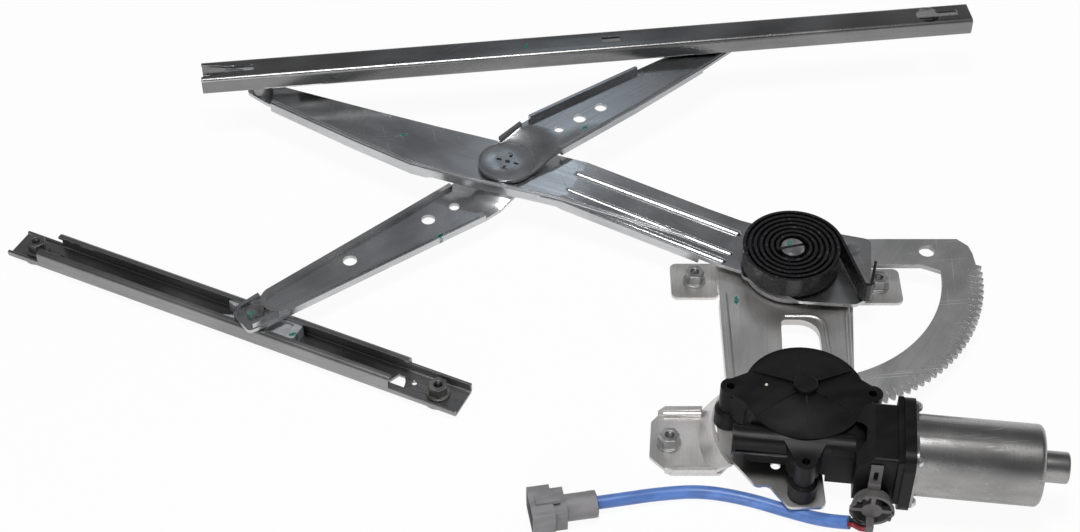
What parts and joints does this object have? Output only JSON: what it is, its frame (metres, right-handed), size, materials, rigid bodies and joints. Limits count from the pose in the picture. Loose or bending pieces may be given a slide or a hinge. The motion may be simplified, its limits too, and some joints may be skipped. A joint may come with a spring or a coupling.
{
  "type": "window regulator",
  "caption": "Power window regulator for a car door: crossed arms, toothed sector, spiral spring and gear motor on a pressed base plate, with two rails",
  "frame": {"origin": "the lower end of the thread of the base plate's upper left mounting nut, on the plane of the mounting faces", "axes": "+Z away from the door's inner panel, towards the motor cover; +X along the long glass rail towards the motor's end; +Y from the motor towards the glass rail"},
  "size_m": [0.6021, 0.4039, 0.0544],
  "materials": {
    "base_steel": "satin zinc, slightly warm",
    "arm_steel": "satin zinc",
    "sector_steel": "dull, scratched",
    "rail_steel": "satin zinc, grainy on the sides",
    "nut_steel": "satin zinc",
    "pin_steel": "turned",
    "spring_black": "gloss black",
    "housing_plastic": "satin black",
    "can_steel": "satin, drawn",
    "magnet": "dull",
    "armature_steel": "laminated",
    "copper": "turned",
    "bearing_bronze": "sintered",
    "wheel_plastic": "natural",
    "grey_plastic": "satin grey",
    "slider_plastic": "light grey, waxy",
    "sleeve_blue": "satin blue",
    "wire_red": "satin",
    "wire_black": "satin"
  },
  "bodies": {
    "base": {"base_plate": "base_steel", "mount_nuts": "nut_steel", "pivot_pin": "pin_steel", "pivot_washer": "pin_steel", "gear_housing": "housing_plastic", "gear_cover": "housing_plastic", "housing_screws": "nut_steel", "worm_bush": "bearing_bronze", "brush_holder": "housing_plastic", "motor_can": "can_steel", "can_screws": "nut_steel", "magnets": "magnet", "rear_bearing": "bearing_bronze", "motor_plug": "grey_plastic", "motor_wire_red": "wire_red", "motor_wire_black": "wire_black", "loom_sleeve": "sleeve_blue", "end_connector": "grey_plastic", "counter_spring": "spring_black"},
    "pinion": {"pinion_shaft": "pin_steel", "output_wheel": "wheel_plastic"},
    "rotor": {"worm_shaft": "pin_steel", "armature_core": "armature_steel", "commutator": "copper"},
    "lift_arm": {"lift_arm": "arm_steel", "sector_gear": "sector_steel", "sector_rivets": "pin_steel", "lift_stud": "pin_steel"},
    "equalizer": {"equalizer_upper_arm": "arm_steel", "equalizer_lower_arm": "arm_steel", "centre_hub": "pin_steel", "glass_stud": "pin_steel", "guide_stud": "pin_steel"},
    "lift_slider": {"lift_slider": "slider_plastic"},
    "equalizer_slider": {"equalizer_slider": "slider_plastic"},
    "guide_slider": {"guide_slider": "slider_plastic"},
    "glass_rail": {"glass_rail": "rail_steel"},
    "guide_rail": {"guide_rail": "rail_steel", "guide_rail_nuts": "nut_steel"}
  },
  "joints": [
    {"name": "lift_pivot", "type": "hinge", "parent": "base", "child": "lift_arm", "pos_m": [0.056, -0.0025, 0.016], "axis": [0, 0, 1], "range_deg": [-72, 0], "deforming": ["counter_spring"]},
    {"name": "pinion_spin", "type": "hinge", "parent": "base", "child": "pinion", "pos_m": [0.05097, -0.12251, 0.015], "axis": [0, 0, 1], "range_deg": [0, 1008]},
    {"name": "rotor_spin", "type": "hinge", "parent": "base", "child": "rotor", "pos_m": [0.04752, -0.15191, 0.032], "axis": [0.9932, -0.1167, 0], "continuous": true},
    {"name": "equalizer_pivot", "type": "hinge", "parent": "lift_arm", "child": "equalizer", "pos_m": [-0.11183, 0.07293, 0.028], "axis": [0, 0, 1], "range_deg": [-15, 27]},
    {"name": "lift_slider_pivot", "type": "hinge", "parent": "lift_arm", "child": "lift_slider", "pos_m": [-0.26871, 0.14343, 0.043], "axis": [0, 0, 1], "range_deg": [-7.5, 13.5]},
    {"name": "glass_rail_slide", "type": "slide", "parent": "lift_slider", "child": "glass_rail", "axis": [0.9924, 0.1227, 0], "range_m": [-0.013, 0.015]},
    {"name": "equalizer_slider_pivot", "type": "hinge", "parent": "equalizer", "child": "equalizer_slider", "pos_m": [0.02315, 0.17953, 0.043], "axis": [0, 0, 1], "range_deg": [-13.5, 7.5]},
    {"name": "guide_slider_pivot", "type": "hinge", "parent": "equalizer", "child": "guide_slider", "pos_m": [-0.25623, -0.04111, 0.008], "axis": [0, 0, 1], "range_deg": [-15, 90]},
    {"name": "guide_rail_slide", "type": "slide", "parent": "guide_slider", "child": "guide_rail", "axis": [0.9056, -0.4242, 0], "range_m": [-0.02, 0.02]}
  ],
  "couplings": [
    {"joint": "pinion_spin", "follows": "lift_pivot", "ratio": -14},
    {"joint": "lift_slider_pivot", "follows": "equalizer_pivot", "ratio": 0.5},
    {"joint": "equalizer_slider_pivot", "follows": "equalizer_pivot", "ratio": -0.5}
  ]
}
